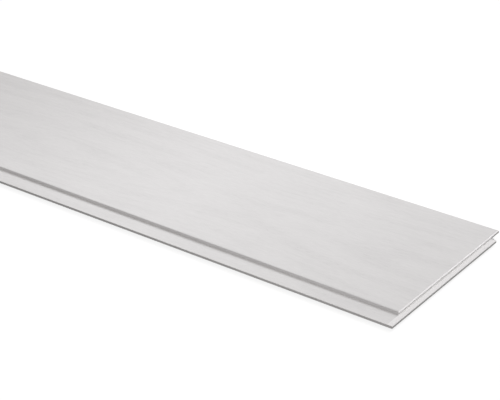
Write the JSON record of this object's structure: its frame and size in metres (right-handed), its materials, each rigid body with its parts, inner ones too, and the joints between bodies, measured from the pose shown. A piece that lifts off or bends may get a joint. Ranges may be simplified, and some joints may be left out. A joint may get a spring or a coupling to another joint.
{
  "type": "tongue-and-groove decorative panel",
  "caption": "White wood-grain decorative panel with a stepped tongue-and-groove edge, for lining walls and ceilings; joined panels show a narrow recessed strip between their faces.",
  "frame": {"origin": "under the middle of the panel's overall length and width, on the plane of its back", "axes": "+X along the panel's length, towards the end with the tongue; +Y across it, from the long tongue to the long groove; +Z out of the face"},
  "size_m": [2.6058, 0.2158, 0.008],
  "materials": {
    "panel_foil": "fibreboard wrapped in a satin white foil with a faint ash grain"
  },
  "bodies": {
    "root": {"panel": "panel_foil"}
  },
  "joints": []
}
